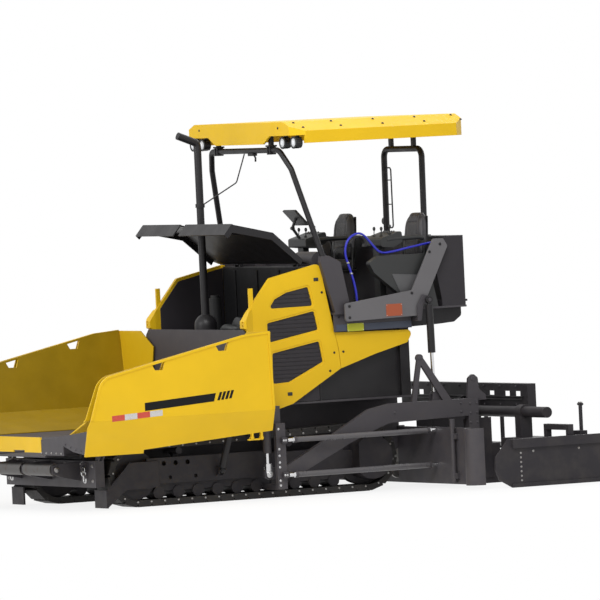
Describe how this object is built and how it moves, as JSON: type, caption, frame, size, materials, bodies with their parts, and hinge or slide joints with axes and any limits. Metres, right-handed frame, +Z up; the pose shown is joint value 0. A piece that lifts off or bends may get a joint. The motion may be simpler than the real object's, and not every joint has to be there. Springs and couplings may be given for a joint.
{
  "type": "tracked asphalt paver",
  "caption": "Tracked asphalt paver: tipping hopper wings, slat conveyors, augers, operator platform under a canopy, and a towed screed with sliding extensions.",
  "frame": {"origin": "on the ground under the middle of the whole machine's box", "axes": "+X forward towards the hopper, +Y to the machine's left, +Z up"},
  "size_m": [6.1, 5.09, 3.93],
  "materials": {
    "yellow_paint": "semi-gloss yellow paint",
    "black_paint": "satin black paint",
    "dark_gray_paint": "satin dark gray paint",
    "gray_paint": "satin gray paint",
    "bare_steel": "worn bare steel",
    "chrome_rod": "polished",
    "track_steel": "dark rolled steel",
    "engine_cast": "dark engine paint",
    "seat_cover": "black vinyl",
    "blue_hose": "blue rubber",
    "lamp_glass": "clear lens in a black housing",
    "black_plastic": "matt black",
    "conveyor_steel": "worn bare steel"
  },
  "bodies": {
    "chassis": {"main_frame": "dark_gray_paint", "conveyor_chains": "conveyor_steel", "front_beam": "dark_gray_paint", "hopper_floor": "dark_gray_paint", "hopper_lip": "yellow_paint", "deflector": "dark_gray_paint", "side_grilles": "black_paint", "engine_block": "engine_cast", "exhaust_stack": "black_paint", "rear_body": "dark_gray_paint", "platform": "dark_gray_paint", "platform_guards": "gray_paint", "rear_cabinet": "dark_gray_paint", "consoles": "black_plastic", "side_boxes": "black_plastic", "hose": "blue_hose", "hose_guide": "black_paint", "front_hoop": "black_paint", "rear_hoop": "black_paint", "canopy_roof": "yellow_paint", "canopy_lamps": "lamp_glass", "tow_guides": "dark_gray_paint", "level_barrels": "dark_gray_paint", "level_rods": "chrome_rod", "auger_case": "dark_gray_paint", "lift_brackets": "dark_gray_paint", "track_left": "track_steel", "track_frame_left": "dark_gray_paint", "side_panel_left": "yellow_paint", "seat_left": "seat_cover", "channel_plate_left": "dark_gray_paint", "track_right": "track_steel", "track_frame_right": "dark_gray_paint", "side_panel_right": "yellow_paint", "seat_right": "seat_cover", "channel_plate_right": "dark_gray_paint"},
    "hood": {"engine_hood": "black_paint"},
    "screed": {"screed_main": "dark_gray_paint", "tow_arm_left": "dark_gray_paint", "tow_arm_right": "dark_gray_paint"},
    "wing_left": {"hopper_wing_left": "yellow_paint", "wing_apron_left": "dark_gray_paint"},
    "wing_barrel_body_left": {"wing_barrel_left": "black_paint"},
    "wing_rod_body_left": {"wing_rod_left": "chrome_rod"},
    "push_roller_body_left": {"push_roller_left": "bare_steel"},
    "auger_body_left": {"auger_left": "bare_steel"},
    "lift_barrel_body_left": {"lift_barrel_left": "black_paint"},
    "lift_rod_body_left": {"lift_rod_left": "chrome_rod"},
    "extension_left": {"screed_extension_left": "dark_gray_paint", "end_gate_left": "dark_gray_paint"},
    "wing_right": {"hopper_wing_right": "yellow_paint", "wing_apron_right": "dark_gray_paint"},
    "wing_barrel_body_right": {"wing_barrel_right": "black_paint"},
    "wing_rod_body_right": {"wing_rod_right": "chrome_rod"},
    "push_roller_body_right": {"push_roller_right": "bare_steel"},
    "auger_body_right": {"auger_right": "bare_steel"},
    "lift_barrel_body_right": {"lift_barrel_right": "black_paint"},
    "lift_rod_body_right": {"lift_rod_right": "chrome_rod"},
    "extension_right": {"screed_extension_right": "dark_gray_paint", "end_gate_right": "dark_gray_paint"}
  },
  "joints": [
    {"name": "wing_tip_left", "type": "hinge", "parent": "chassis", "child": "wing_left", "pos_m": [1.2, 1.1, 0.72], "axis": [1, 0, 0], "range_deg": [0, 60]},
    {"name": "wing_barrel_turn_left", "type": "hinge", "parent": "chassis", "child": "wing_barrel_body_left", "pos_m": [1.225, 1.15, 0.33], "axis": [1, 0, 0], "range_deg": [0, 30.5]},
    {"name": "wing_rod_slide_left", "type": "slide", "parent": "wing_barrel_body_left", "child": "wing_rod_body_left", "axis": [0, 0.5154, 0.8569], "range_m": [0, 0.163]},
    {"name": "push_roller_spin_left", "type": "hinge", "parent": "chassis", "child": "push_roller_body_left", "pos_m": [2.93, 0.352, 0.43], "axis": [0, 1, 0], "continuous": true},
    {"name": "auger_spin_left", "type": "hinge", "parent": "chassis", "child": "auger_body_left", "pos_m": [-1.4, 0.72, 0.25], "axis": [0, 1, 0], "continuous": true},
    {"name": "lift_barrel_turn_left", "type": "hinge", "parent": "chassis", "child": "lift_barrel_body_left", "pos_m": [-1.27, 1.272, 1.98], "axis": [0, 1, 0], "range_deg": [-9.8, 0]},
    {"name": "lift_rod_slide_left", "type": "slide", "parent": "lift_barrel_body_left", "child": "lift_rod_body_left", "axis": [-0.01, 0, -0.9999], "range_m": [-0.273, 0]},
    {"name": "extension_slide_left", "type": "slide", "parent": "screed", "child": "extension_left", "axis": [0, 1, 0], "range_m": [-1.05, 0]},
    {"name": "wing_tip_right", "type": "hinge", "parent": "chassis", "child": "wing_right", "pos_m": [1.2, -1.1, 0.72], "axis": [-1, 0, 0], "range_deg": [0, 60]},
    {"name": "wing_barrel_turn_right", "type": "hinge", "parent": "chassis", "child": "wing_barrel_body_right", "pos_m": [1.225, -1.15, 0.33], "axis": [-1, 0, 0], "range_deg": [0, 30.5]},
    {"name": "wing_rod_slide_right", "type": "slide", "parent": "wing_barrel_body_right", "child": "wing_rod_body_right", "axis": [0, -0.5154, 0.8569], "range_m": [0, 0.163]},
    {"name": "push_roller_spin_right", "type": "hinge", "parent": "chassis", "child": "push_roller_body_right", "pos_m": [2.93, -0.352, 0.43], "axis": [0, 1, 0], "continuous": true},
    {"name": "auger_spin_right", "type": "hinge", "parent": "chassis", "child": "auger_body_right", "pos_m": [-1.4, -0.72, 0.25], "axis": [0, 1, 0], "continuous": true},
    {"name": "lift_barrel_turn_right", "type": "hinge", "parent": "chassis", "child": "lift_barrel_body_right", "pos_m": [-1.27, -1.272, 1.98], "axis": [0, 1, 0], "range_deg": [-9.8, 0]},
    {"name": "lift_rod_slide_right", "type": "slide", "parent": "lift_barrel_body_right", "child": "lift_rod_body_right", "axis": [-0.01, 0, -0.9999], "range_m": [-0.273, 0]},
    {"name": "extension_slide_right", "type": "slide", "parent": "screed", "child": "extension_right", "axis": [0, -1, 0], "range_m": [-1.05, 0]},
    {"name": "hood_close", "type": "hinge", "parent": "chassis", "child": "hood", "pos_m": [-0.02, 0, 2.425], "axis": [0, 1, 0], "range_deg": [0, 54]},
    {"name": "screed_lift", "type": "hinge", "parent": "chassis", "child": "screed", "pos_m": [0.77, 0, 0.26], "axis": [0, 1, 0], "range_deg": [0, 8]}
  ],
  "couplings": [
    {"joint": "wing_barrel_turn_left", "follows": "wing_tip_left", "ratio": 0.50242},
    {"joint": "wing_rod_slide_left", "follows": "wing_tip_left", "m_per_rad": 0.15345},
    {"joint": "lift_barrel_turn_left", "follows": "screed_lift", "ratio": -1.1709},
    {"joint": "lift_rod_slide_left", "follows": "screed_lift", "m_per_rad": -1.9321},
    {"joint": "wing_barrel_turn_right", "follows": "wing_tip_right", "ratio": 0.50242},
    {"joint": "wing_rod_slide_right", "follows": "wing_tip_right", "m_per_rad": 0.15345},
    {"joint": "lift_barrel_turn_right", "follows": "screed_lift", "ratio": -1.1709},
    {"joint": "lift_rod_slide_right", "follows": "screed_lift", "m_per_rad": -1.9321}
  ]
}
